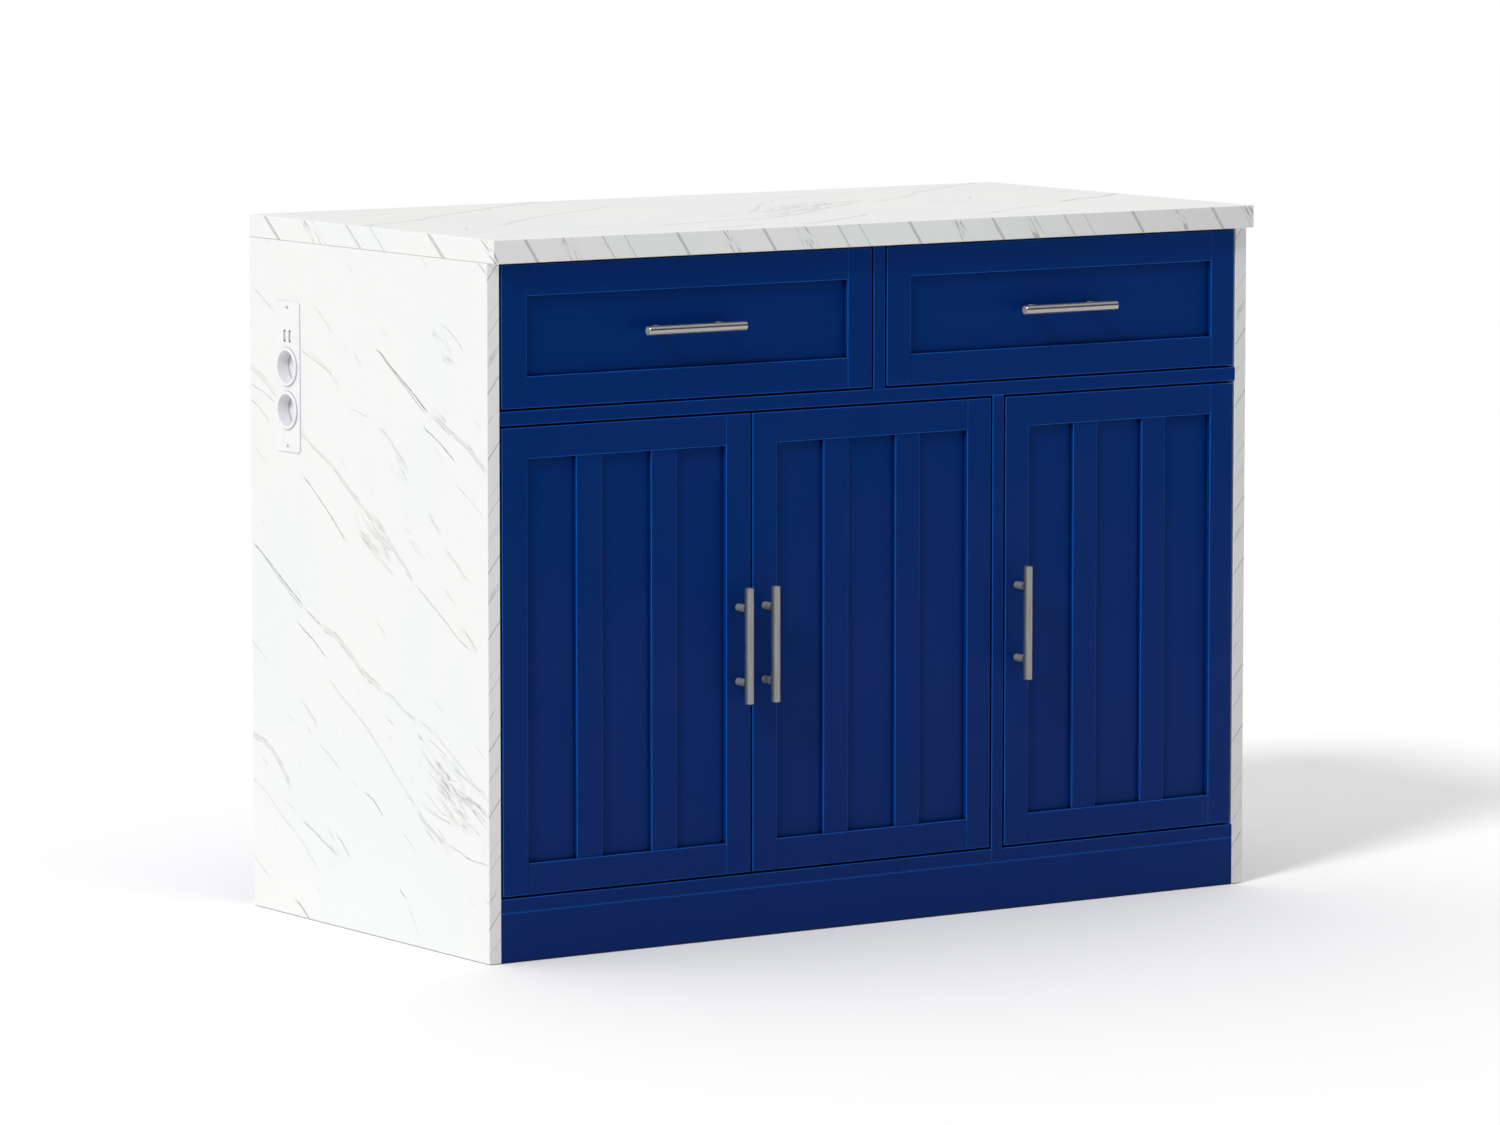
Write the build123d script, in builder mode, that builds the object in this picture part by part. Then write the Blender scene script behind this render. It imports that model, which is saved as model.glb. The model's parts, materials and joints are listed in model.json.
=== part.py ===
"""Kitchen island: a flat-pack carcass with two drawers above three cupboard doors.

Millimetres, +X to the right along the front, +Y from the front to the back, +Z up.
The origin is the middle of the overall box, on the floor.
"""

import os

from build123d import *

os.makedirs("parts", exist_ok=True)

# ---------------------------------------------------------------- driving dimensions
WIDTH = 1200
DEPTH = 600
TOP_T = 30
BOARD = 18
BACK_T = 9
GLIDE_H = 1
KICK_H = 64
CUPBOARD_H = 600
DRAWER_BAY_H = 187
OVERHANG = 16
BACK_RECESS = 6
EDGE = 1.2
WHITE_EDGE = 0.8

GAP = 3
MEETING_GAP = 3
DOOR_W = 377.5
PANEL_T = 12
FRAME_T = 8
STILE_W = 38
RAIL_W = 40
BATTEN_W = 39.2
BATTEN_T = 6

BAR_D = 12
BAR_L = 150
BAR_REACH = 25
POST_D = 10
POST_PITCH = 96
SCREW_R = 2
SCREW_HOLE_R = 2.2
SCREW_HEAD_R = 4.2

PIN_IN = 26
PIN_BACK = 11
CUP_IN = 20
CUP_R = 17.5
CUP_WALL = 0.8
CUP_DEPTH = PANEL_T + 0.8
HINGE_INSET = 90
ARM_T = 3
ARM_H = 12

SLIDE_T = 12.7
SLIDE_L = 400
SLIDE_SHEET = 1.2
BOX_H = 120
BOX_T = 12
BOX_BASE_T = 6
BOX_LIFT = 15
GROOVE_IN = 6

SHELF_SETBACK = 50
PLATE_W = 60
PLATE_H = 197
PLATE_T = 2
RING_PROUD = 3
SOCKET_R = 21
RING_R = 25
SOCKET_DEPTH = 18
HOUSING_W = 50
HOUSING_H = 176
HOUSING_T = 38
GLAND_R = 14
CABLE_R = 5

# ---------------------------------------------------------------- lines that follow from them
PROUD_LEFT = PLATE_T + RING_PROUD
PROUD_FRONT = BAR_REACH + BAR_D / 2 - OVERHANG
LEFT = -(WIDTH - PROUD_LEFT) / 2
RIGHT = LEFT + WIDTH
FRONT = -(DEPTH - PROUD_FRONT) / 2
BACK = FRONT + DEPTH
FACE = FRONT + OVERHANG
PANEL_FACE = FACE + FRAME_T
DOOR_BACK = PANEL_FACE + PANEL_T
INNER_LEFT = LEFT + BOARD
INNER_RIGHT = RIGHT - BOARD
BACK_FACE = BACK - BACK_RECESS - BACK_T

FLOOR_BOARD = (KICK_H, KICK_H + BOARD)
CUPBOARD = (FLOOR_BOARD[1], FLOOR_BOARD[1] + CUPBOARD_H)
DECK = (CUPBOARD[1], CUPBOARD[1] + BOARD)
DRAWER_BAY = (DECK[1], DECK[1] + DRAWER_BAY_H)
TOP = (DRAWER_BAY[1], DRAWER_BAY[1] + TOP_T)

WIDE_BAY = (INNER_LEFT, INNER_LEFT + 2 * DOOR_W + MEETING_GAP + 2 * GAP)
PARTITION = (WIDE_BAY[1], WIDE_BAY[1] + BOARD)
NARROW_BAY = (PARTITION[1], INNER_RIGHT)
MIDDLE = (LEFT + RIGHT) / 2
DIVIDER = (MIDDLE - BOARD / 2, MIDDLE + BOARD / 2)

DOOR_Z = (CUPBOARD[0] + GAP, CUPBOARD[1] - GAP)
DRAWER_Z = (DRAWER_BAY[0] + GAP, DRAWER_BAY[1] - GAP)
HINGE_Z = (DOOR_Z[0] + HINGE_INSET, DOOR_Z[1] - HINGE_INSET)
SHELF_TOP = CUPBOARD[0] + CUPBOARD_H / 2
TOP_RAIL_W = 80
SLIDE_Z = DRAWER_BAY[0] + BOX_LIFT + 50
UNIT_Y = FRONT + 501
UNIT_Z = 710.5


def centre(span):
    return (span[0] + span[1]) / 2


def block(x, y, z, mode=Mode.ADD):
    """A rectangular block between two x, two y and two z, in the open part."""
    with Locations((centre(x), centre(y), centre(z))):
        Box(x[1] - x[0], y[1] - y[0], z[1] - z[0], mode=mode)


def cylinder_y(radius, x, z, y, mode=Mode.ADD):
    """A cylinder along Y between two y, in the open part."""
    with Locations((x, centre(y), z)):
        Cylinder(radius, y[1] - y[0], rotation=(90, 0, 0), mode=mode)


def cylinder_x(radius, x, y, z, mode=Mode.ADD):
    """A cylinder along X between two x, in the open part."""
    with Locations((centre(x), y, z)):
        Cylinder(radius, x[1] - x[0], rotation=(0, 90, 0), mode=mode)


def save(piece, name):
    piece.part.label = name
    export_step(piece.part, f"parts/{name}.step")


# ---------------------------------------------------------------- worktop and side panels
with BuildPart() as worktop:
    block((LEFT, RIGHT), (FRONT, BACK), TOP)
    fillet(worktop.edges(), EDGE)
save(worktop, "worktop")

GLIDE_Y = (FACE + 40, BACK - 40)
GLIDE_X = (LEFT + BOARD / 2, RIGHT - BOARD / 2)
GLIDE_R = 7.5
NAIL_R = 1.25
NAIL_L = 14


def glide_nails(xs, mode=Mode.ADD):
    """The nails of the glides, as bodies or as the holes that they fill."""
    with Locations([(x, y, GLIDE_H + NAIL_L / 2) for x in xs for y in GLIDE_Y]):
        Cylinder(NAIL_R, NAIL_L, mode=mode)


PIN_R = 2.5
PIN_DEEP = 8
PIN_HEAD_R = 4
PIN_REACH = 9
PIN_Y = (FACE + SHELF_SETBACK + 40, BACK_FACE - 60)
PIN_Z = SHELF_TOP - BOARD - PIN_HEAD_R
SHELF_WALLS = ((INNER_LEFT, 1), (PARTITION[0], -1), (PARTITION[1], 1), (INNER_RIGHT, -1))


def pin_shanks(walls, mode=Mode.ADD):
    """The parts of the shelf pins inside the boards, or the holes that they fill."""
    for wall, way in walls:
        for y in PIN_Y:
            cylinder_x(PIN_R, sorted((wall - way * PIN_DEEP, wall)), y, PIN_Z, mode)


with BuildPart() as side_panel_left:
    block((LEFT, INNER_LEFT), (FACE, BACK), (GLIDE_H, TOP[0]))
    fillet(side_panel_left.edges(), WHITE_EDGE)
    unit_y = (UNIT_Y - HOUSING_W / 2, UNIT_Y + HOUSING_W / 2)
    unit_z = (UNIT_Z - HOUSING_H / 2, UNIT_Z + HOUSING_H / 2)
    block((LEFT, INNER_LEFT), unit_y, unit_z, mode=Mode.SUBTRACT)
    glide_nails(GLIDE_X[:1], Mode.SUBTRACT)
    pin_shanks(SHELF_WALLS[:1], Mode.SUBTRACT)
save(side_panel_left, "side_panel_left")

with BuildPart() as side_panel_right:
    block((INNER_RIGHT, RIGHT), (FACE, BACK), (GLIDE_H, TOP[0]))
    fillet(side_panel_right.edges(), WHITE_EDGE)
    glide_nails(GLIDE_X[1:], Mode.SUBTRACT)
    pin_shanks(SHELF_WALLS[3:], Mode.SUBTRACT)
save(side_panel_right, "side_panel_right")

with BuildPart() as floor_glides:
    with Locations([(x, y, GLIDE_H / 2) for x in GLIDE_X for y in GLIDE_Y]):
        Cylinder(GLIDE_R, GLIDE_H)
    fillet(floor_glides.edges().group_by(Axis.Z)[0], 0.6)
    glide_nails(GLIDE_X)
save(floor_glides, "floor_glides")

# ---------------------------------------------------------------- boards between the side panels
CAM_R = 7.5
CAM_DEPTH = 12.5
CAM_IN = 34
CAM_Y = (FACE + 64, FACE + 424)
FLOOR_CAM_X = (WIDE_BAY[0] + CAM_IN, WIDE_BAY[1] - CAM_IN, NARROW_BAY[0] + CAM_IN, NARROW_BAY[1] - CAM_IN)
DECK_CAM_X = (INNER_LEFT + CAM_IN, INNER_RIGHT - CAM_IN)
CAM_GROUPS = ((FLOOR_CAM_X, FLOOR_BOARD[0]), (DECK_CAM_X, DECK[0]))


def cam_discs(xs, z, mode=Mode.ADD):
    """The discs of the cam locks in the underside of a board, or their bores."""
    with Locations([(x, y, z + CAM_DEPTH / 2) for x in xs for y in CAM_Y]):
        Cylinder(CAM_R, CAM_DEPTH, mode=mode)


with BuildPart() as cam_locks:
    for cam_x, cam_z in CAM_GROUPS:
        cam_discs(cam_x, cam_z)
        for x in cam_x:
            for y in CAM_Y:
                block((x - 5, x + 5), (y - 1, y + 1), (cam_z, cam_z + 2.5), mode=Mode.SUBTRACT)
                block((x - 1, x + 1), (y - 5, y + 5), (cam_z, cam_z + 2.5), mode=Mode.SUBTRACT)
save(cam_locks, "cam_locks")

with BuildPart() as bottom_panels:
    for bay in (WIDE_BAY, NARROW_BAY):
        block(bay, (FACE, BACK_FACE), FLOOR_BOARD)
    fillet(bottom_panels.edges().group_by(Axis.Y)[0].filter_by(Axis.X), EDGE)
    cam_discs(FLOOR_CAM_X, FLOOR_BOARD[0], Mode.SUBTRACT)
save(bottom_panels, "bottom_panels")

with BuildPart() as shelf_pins:
    for wall, way in SHELF_WALLS:
        for y in PIN_Y:
            cylinder_x(PIN_HEAD_R, sorted((wall, wall + way * PIN_REACH)), y, PIN_Z)
    pin_shanks(SHELF_WALLS)
save(shelf_pins, "shelf_pins")

with BuildPart() as shelves:
    for bay in (WIDE_BAY, NARROW_BAY):
        shelf_x = (bay[0] + 1, bay[1] - 1)
        block(shelf_x, (FACE + SHELF_SETBACK, BACK_FACE - 1), (SHELF_TOP - BOARD, SHELF_TOP))
    fillet(shelves.edges().group_by(Axis.Y)[0].filter_by(Axis.X), EDGE)
save(shelves, "shelves")

with BuildPart() as cupboard_partition:
    block(PARTITION, (FACE, BACK_FACE), (KICK_H, DECK[0]))
    fillet(cupboard_partition.edges().group_by(Axis.Y)[0], EDGE)
    pin_shanks(SHELF_WALLS[1:3], Mode.SUBTRACT)
save(cupboard_partition, "cupboard_partition")

with BuildPart() as drawer_deck:
    block((INNER_LEFT, INNER_RIGHT), (FACE, BACK_FACE), DECK)
    fillet(drawer_deck.edges().group_by(Axis.Y)[0].filter_by(Axis.X), EDGE)
    notch_x = (INNER_LEFT, LEFT + HOUSING_T + 2)
    notch_y = (UNIT_Y - HOUSING_W / 2 - 2, UNIT_Y + HOUSING_W / 2 + 2)
    block(notch_x, notch_y, DECK, mode=Mode.SUBTRACT)
    cam_discs(DECK_CAM_X, DECK[0], Mode.SUBTRACT)
save(drawer_deck, "drawer_deck")

TOP_RAILS_Y = ((FACE + 34, FACE + 34 + TOP_RAIL_W), (BACK_FACE - TOP_RAIL_W, BACK_FACE))
TOP_RAIL_Z = (TOP[0] - BOARD, TOP[0])

with BuildPart() as top_rails:
    for rail_y in TOP_RAILS_Y:
        block((INNER_LEFT, INNER_RIGHT), rail_y, TOP_RAIL_Z)
save(top_rails, "top_rails")

with BuildPart() as drawer_divider:
    block(DIVIDER, (FACE, BACK_FACE), DRAWER_BAY)
    fillet(drawer_divider.edges().group_by(Axis.Y)[0].filter_by(Axis.Z), EDGE)
    for rail_y in TOP_RAILS_Y:
        block(DIVIDER, rail_y, TOP_RAIL_Z, mode=Mode.SUBTRACT)
save(drawer_divider, "drawer_divider")

with BuildPart() as kick_board:
    block((INNER_LEFT, INNER_RIGHT), (FACE, FACE + BOARD), (GLIDE_H, KICK_H))
    fillet(kick_board.edges().group_by(Axis.Y)[0].filter_by(Axis.X), EDGE)
save(kick_board, "kick_board")

with BuildPart() as rear_plinth_rail:
    block((INNER_LEFT, INNER_RIGHT), (BACK_FACE - BOARD, BACK_FACE), (GLIDE_H, KICK_H))
save(rear_plinth_rail, "rear_plinth_rail")

GLAND_X = INNER_LEFT + 60
GLAND_Z = CUPBOARD[1] - 60
GLAND_FLANGE_R = 18
GLAND_FLANGE_T = 2

with BuildPart() as back_panel:
    block((INNER_LEFT, INNER_RIGHT), (BACK_FACE, BACK_FACE + BACK_T), (GLIDE_H, TOP[0]))
    cylinder_y(GLAND_R, GLAND_X, GLAND_Z, (BACK_FACE, BACK_FACE + BACK_T), Mode.SUBTRACT)
save(back_panel, "back_panel")

with BuildPart() as cable_gland:
    gland_y = (BACK_FACE, BACK_FACE + BACK_T + GLAND_FLANGE_T)
    cylinder_y(GLAND_R, GLAND_X, GLAND_Z, gland_y)
    cylinder_y(GLAND_FLANGE_R, GLAND_X, GLAND_Z, (BACK_FACE + BACK_T, gland_y[1]))
    fillet(cable_gland.edges().group_by(Axis.Y)[-1], 0.8)
    cylinder_y(CABLE_R, GLAND_X, GLAND_Z, gland_y, Mode.SUBTRACT)
save(cable_gland, "cable_gland")

# ---------------------------------------------------------------- power unit in the left panel
SOCKET_Z = (UNIT_Z - 44, UNIT_Z + 12.7)
PORT_Y = (UNIT_Y - 6.5, UNIT_Y + 6.5)
PORT_Z = UNIT_Z + 53
PORT_W = 5.2
PORT_H = 15.8
PORT_DEPTH = 9
UNIT_SCREW_Z = (UNIT_Z - 90.5, UNIT_Z + 90.5)
UNIT_SCREW_R = 3
UNIT_SLOT_L = 4.4
UNIT_SLOT_W = 1.2
UNIT_SLOT_DEPTH = 1
SLEEVE_R = 22.4
PLATE_FACE = LEFT - PLATE_T
RING_FACE = PLATE_FACE - RING_PROUD
UNIT_BACK = LEFT + HOUSING_T


def port_shells(width, height, x, mode=Mode.ADD):
    """Upright rounded blocks on the two port centres, in the open part."""
    with BuildSketch(Plane.YZ.offset(x[0])) as outline:
        with Locations([(y, PORT_Z) for y in PORT_Y]):
            RectangleRounded(width, height, 0.6)
    extrude(outline.sketch, amount=x[1] - x[0], mode=mode)


with BuildPart() as outlet_face_plate:
    with BuildSketch(Plane.YZ.offset(PLATE_FACE)):
        with Locations((UNIT_Y, UNIT_Z)):
            RectangleRounded(PLATE_W, PLATE_H, 5.5)
    extrude(amount=PLATE_T)
    fillet(outlet_face_plate.faces().sort_by(Axis.X)[0].edges(), 0.9)
    for z in SOCKET_Z:
        cylinder_x(SLEEVE_R, (PLATE_FACE, LEFT), UNIT_Y, z, Mode.SUBTRACT)
    for z in UNIT_SCREW_Z:
        cylinder_x(UNIT_SCREW_R, (PLATE_FACE, LEFT), UNIT_Y, z, Mode.SUBTRACT)
    port_shells(PORT_W, PORT_H, (PLATE_FACE, LEFT), Mode.SUBTRACT)
save(outlet_face_plate, "outlet_face_plate")

with BuildPart() as outlet_housing:
    shell_y = (UNIT_Y - HOUSING_W / 2 + 0.5, UNIT_Y + HOUSING_W / 2 - 0.5)
    shell_z = (UNIT_Z - HOUSING_H / 2 + 0.5, UNIT_Z + HOUSING_H / 2 - 0.5)
    block((LEFT, UNIT_BACK), shell_y, shell_z)
    fillet(outlet_housing.faces().sort_by(Axis.X)[-1].edges(), 2)
    inside_y = (shell_y[0] + 2, shell_y[1] - 2)
    inside_z = (shell_z[0] + 2, shell_z[1] - 2)
    block((LEFT, UNIT_BACK - 2), inside_y, inside_z, mode=Mode.SUBTRACT)
    with Locations((UNIT_BACK - 8, UNIT_Y, shell_z[0] + 1)):
        Cylinder(CABLE_R, 2, mode=Mode.SUBTRACT)
save(outlet_housing, "outlet_housing")

CONTACT_R = 2.4
CONTACT_OUT = 9.5

with BuildPart() as outlet_sockets:
    for z in SOCKET_Z:
        floor_x = RING_FACE + SOCKET_DEPTH
        cylinder_x(SLEEVE_R - 0.1, (PLATE_FACE, floor_x + 4), UNIT_Y, z)
        cylinder_x(RING_R, (RING_FACE, PLATE_FACE), UNIT_Y, z)
        cylinder_x(SOCKET_R, (RING_FACE, floor_x), UNIT_Y, z, Mode.SUBTRACT)
        for side in (-CONTACT_OUT, CONTACT_OUT):
            cylinder_x(CONTACT_R, (floor_x, floor_x + 4), UNIT_Y, z + side, Mode.SUBTRACT)
    fillet(outlet_sockets.edges().group_by(Axis.X)[0], 0.9)
save(outlet_sockets, "outlet_sockets")

with BuildPart() as usb_ports:
    port_back = PLATE_FACE + PORT_DEPTH
    port_shells(PORT_W - 0.1, PORT_H - 0.1, (PLATE_FACE + 0.6, port_back + 2))
    port_shells(PORT_W - 1.0, PORT_H - 1.0, (PLATE_FACE + 0.6, port_back), Mode.SUBTRACT)
    port_shells(3.2, PORT_H - 4.6, (PLATE_FACE + 0.6, port_back))
save(usb_ports, "usb_ports")

with BuildPart() as outlet_screws:
    for z in UNIT_SCREW_Z:
        cylinder_x(UNIT_SCREW_R - 0.1, (PLATE_FACE - 0.3, LEFT - 0.4), UNIT_Y, z)
    fillet(outlet_screws.edges().group_by(Axis.X)[0], 0.4)
    for z in UNIT_SCREW_Z:
        slot_y = (UNIT_Y - UNIT_SLOT_L / 2, UNIT_Y + UNIT_SLOT_L / 2)
        slot_z = (z - UNIT_SLOT_W / 2, z + UNIT_SLOT_W / 2)
        block((PLATE_FACE - 0.3, PLATE_FACE - 0.3 + UNIT_SLOT_DEPTH), slot_y, slot_z, mode=Mode.SUBTRACT)
save(outlet_screws, "outlet_screws")


# ---------------------------------------------------------------- shaker fronts and handles
def front_panel(name, x, z, cups, bolts):
    """The flat backing of a front, with the pockets and screw holes through it."""
    with BuildPart() as panel:
        block(x, (PANEL_FACE, DOOR_BACK), z)
        fillet(panel.edges().group_by(Axis.Y)[-1], EDGE)
        bore_fittings(cups, bolts)
    save(panel, f"{name}_panel")


def bore_fittings(cups, bolts):
    """Cut the hinge cup pockets and the handle screw holes in the open part."""
    for x, z in cups:
        cylinder_y(CUP_R, x, z, (DOOR_BACK - CUP_DEPTH, DOOR_BACK), Mode.SUBTRACT)
    for x, z in bolts:
        cylinder_y(SCREW_HOLE_R, x, z, (FACE, DOOR_BACK), Mode.SUBTRACT)


def front_frame(name, x, z, cups, bolts):
    """The two stiles and the two rails between them, on the face of the backing."""
    frame_y = (FACE, PANEL_FACE)
    with BuildPart() as stiles:
        block((x[0], x[0] + STILE_W), frame_y, z)
        block((x[1] - STILE_W, x[1]), frame_y, z)
        fillet(stiles.edges().group_by(Axis.Y)[0], EDGE)
        bore_fittings(cups, bolts)
    save(stiles, f"{name}_stiles")
    with BuildPart() as rails:
        rail_x = (x[0] + STILE_W, x[1] - STILE_W)
        block(rail_x, frame_y, (z[0], z[0] + RAIL_W))
        block(rail_x, frame_y, (z[1] - RAIL_W, z[1]))
        fillet(rails.edges().group_by(Axis.Y)[0].filter_by(Axis.X), EDGE)
    save(rails, f"{name}_rails")


def door_battens(name, x, z):
    """Two upright battens that part the recessed field into three."""
    recess = (x[1] - x[0] - 2 * STILE_W - 2 * BATTEN_W) / 3
    with BuildPart() as battens:
        for number in (1, 2):
            left = x[0] + STILE_W + number * recess + (number - 1) * BATTEN_W
            batten_z = (z[0] + RAIL_W, z[1] - RAIL_W)
            block((left, left + BATTEN_W), (PANEL_FACE - BATTEN_T, PANEL_FACE), batten_z)
        fillet(battens.edges().group_by(Axis.Y)[0].filter_by(Axis.Z), EDGE)
    save(battens, f"{name}_battens")


def bar_handle(name, bolts, seat):
    """A T-bar on two posts, with the screws that hold it through the front."""
    upright = bolts[0][0] == bolts[1][0]
    bar_y = seat - BAR_REACH
    middle_x = centre((bolts[0][0], bolts[1][0]))
    middle_z = centre((bolts[0][1], bolts[1][1]))
    with BuildPart() as handle:
        with Locations((middle_x, bar_y, middle_z)):
            Cylinder(BAR_D / 2, BAR_L, rotation=(0, 0, 0) if upright else (0, 90, 0))
        chamfer(handle.edges().filter_by(GeomType.CIRCLE), 0.8)
        for x, z in bolts:
            cylinder_y(POST_D / 2, x, z, (bar_y, seat))
            cylinder_y(SCREW_R, x, z, (seat, DOOR_BACK))
            cylinder_y(SCREW_HEAD_R, x, z, (DOOR_BACK, DOOR_BACK + 2.2))
    save(handle, f"{name}_handle")


# ---------------------------------------------------------------- doors and their hinges
def hinge_cups(name, cups, pin_x):
    """Two pressed cups with a flange, each with the pin that its arm turns on."""
    with BuildPart() as hinges:
        for x, z in cups:
            cylinder_y(CUP_R, x, z, (DOOR_BACK - CUP_DEPTH, DOOR_BACK))
            with BuildSketch(Plane.XZ.offset(-DOOR_BACK)) as flange:
                with Locations((x, z)):
                    RectangleRounded(24, 62, 6)
                    Circle(CUP_R + 2)
            extrude(flange.sketch, amount=-1.2)
            bowl_y = (DOOR_BACK - CUP_DEPTH + CUP_WALL, DOOR_BACK + 1.2)
            cylinder_y(CUP_R - CUP_WALL, x, z, bowl_y, Mode.SUBTRACT)
            with Locations((pin_x, FACE + PIN_BACK, z)):
                Cylinder(1.5, 31.4)
    save(hinges, f"{name}_hinge_cups")


DOORS = (
    ("door_left", WIDE_BAY[0] + GAP, DOOR_W, "left"),
    ("door_middle", WIDE_BAY[0] + GAP + DOOR_W + MEETING_GAP, DOOR_W, "right"),
    ("door_right", NARROW_BAY[0] + GAP, NARROW_BAY[1] - NARROW_BAY[0] - 2 * GAP, "right"),
)

hinge_lines = []
for door, door_left_x, door_w, hinge_side in DOORS:
    door_x = (door_left_x, door_left_x + door_w)
    if hinge_side == "left":
        hinge_x, handle_x, inward = door_x[0], door_x[1], 1
    else:
        hinge_x, handle_x, inward = door_x[1], door_x[0], -1
    door_cups = [(hinge_x + inward * CUP_IN, z) for z in HINGE_Z]
    post_x = handle_x - inward * STILE_W / 2
    post_z = centre(DOOR_Z)
    door_bolts = [(post_x, post_z - POST_PITCH / 2), (post_x, post_z + POST_PITCH / 2)]
    front_panel(door, door_x, DOOR_Z, door_cups, door_bolts)
    front_frame(door, door_x, DOOR_Z, door_cups, door_bolts)
    door_battens(door, door_x, DOOR_Z)
    bar_handle(door, door_bolts, FACE)
    hinge_cups(door, door_cups, hinge_x + inward * PIN_IN)
    hinge_lines.append((hinge_x - inward * GAP, inward))

PLATE_SPAN = (FACE + 30, FACE + 94)
HINGE_PLATE_T = 2.5
NECK = ((PIN_IN + GAP, PIN_BACK), (35 + GAP, 24), (40 + GAP, 31.5), (40 + GAP, 41), (HINGE_PLATE_T + 1.5, 41))
ARM_BODY = (39.5, 84)
ARM_BODY_T = 7
BARREL_R = 2.7
BARREL_BORE_R = 1.55

with BuildPart() as hinge_plates:
    for wall, inward in hinge_lines:
        plate_x = sorted((wall, wall + inward * HINGE_PLATE_T))
        head_x = sorted((wall + inward * HINGE_PLATE_T, wall + inward * (HINGE_PLATE_T + 1.6)))
        for z in HINGE_Z:
            block(plate_x, PLATE_SPAN, (z - 24, z + 24))
            for head_z in (z - 16, z + 16):
                cylinder_x(4, head_x, centre(PLATE_SPAN), head_z)
save(hinge_plates, "hinge_plates")

with BuildPart() as hinge_arms:
    for wall, inward in hinge_lines:
        neck = [(wall + inward * out, FACE + back) for out, back in NECK]
        body_x = wall + inward * (HINGE_PLATE_T + ARM_BODY_T / 2)
        for z in HINGE_Z:
            with BuildSketch(Plane.XY.offset(z - ARM_H / 2)) as arm:
                with BuildLine():
                    neck_line = Polyline(*neck)
                trace(neck_line, line_width=ARM_T)
                with Locations((body_x, FACE + centre(ARM_BODY))):
                    Rectangle(ARM_BODY_T, ARM_BODY[1] - ARM_BODY[0])
                with Locations(neck[0]):
                    Circle(BARREL_R)
                    Circle(BARREL_BORE_R, mode=Mode.SUBTRACT)
            extrude(arm.sketch, amount=ARM_H)
save(hinge_arms, "hinge_arms")

# ---------------------------------------------------------------- drawers and their slides
DRAWERS = (
    ("drawer_left", (INNER_LEFT, DIVIDER[0])),
    ("drawer_right", (DIVIDER[1], INNER_RIGHT)),
)
BOX_Z = (DRAWER_BAY[0] + BOX_LIFT, DRAWER_BAY[0] + BOX_LIFT + BOX_H)
BOX_Y = (DOOR_BACK, DOOR_BACK + SLIDE_L)
BASE_Z = (BOX_Z[0] + 12, BOX_Z[0] + 12 + BOX_BASE_T)


def channel(wall, inward, reach, half_height, open_side, y):
    """A C-shaped slide member; reach is how far its two sides lie from the wall."""
    near, far = reach
    web = SLIDE_SHEET if open_side == "far" else 0
    lip = SLIDE_SHEET if open_side == "near" else 0
    outer_x = sorted((wall + inward * near, wall + inward * far))
    inner_x = sorted((wall + inward * (near + web), wall + inward * (far - lip)))
    block(outer_x, y, (SLIDE_Z - half_height, SLIDE_Z + half_height))
    inner_half = half_height - SLIDE_SHEET
    block(inner_x, y, (SLIDE_Z - inner_half, SLIDE_Z + inner_half), mode=Mode.SUBTRACT)


def drawer_box(name, box_x):
    """Sides, ends and a bottom held in grooves, open at the top."""
    base_x = (box_x[0] + BOX_T - GROOVE_IN, box_x[1] - BOX_T + GROOVE_IN)
    base_y = (BOX_Y[0] + BOX_T - GROOVE_IN, BOX_Y[1] - BOX_T + GROOVE_IN)
    with BuildPart() as sides:
        block((box_x[0], box_x[0] + BOX_T), BOX_Y, BOX_Z)
        block((box_x[1] - BOX_T, box_x[1]), BOX_Y, BOX_Z)
        fillet(sides.edges().group_by(Axis.Z)[-1].filter_by(Axis.Y), EDGE)
        block(base_x, base_y, BASE_Z, mode=Mode.SUBTRACT)
    save(sides, f"{name}_box_sides")
    with BuildPart() as ends:
        end_x = (box_x[0] + BOX_T, box_x[1] - BOX_T)
        block(end_x, (BOX_Y[0], BOX_Y[0] + BOX_T), BOX_Z)
        block(end_x, (BOX_Y[1] - BOX_T, BOX_Y[1]), BOX_Z)
        fillet(ends.edges().group_by(Axis.Z)[-1].filter_by(Axis.X), EDGE)
        block(base_x, base_y, BASE_Z, mode=Mode.SUBTRACT)
        for x in (centre(box_x) - POST_PITCH / 2, centre(box_x) + POST_PITCH / 2):
            relief_y = (BOX_Y[0], BOX_Y[0] + 3)
            cylinder_y(SCREW_HEAD_R + 1, x, centre(DRAWER_Z), relief_y, Mode.SUBTRACT)
    save(ends, f"{name}_box_ends")
    with BuildPart() as bottom:
        block(base_x, base_y, BASE_Z)
    save(bottom, f"{name}_box_bottom")


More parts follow.
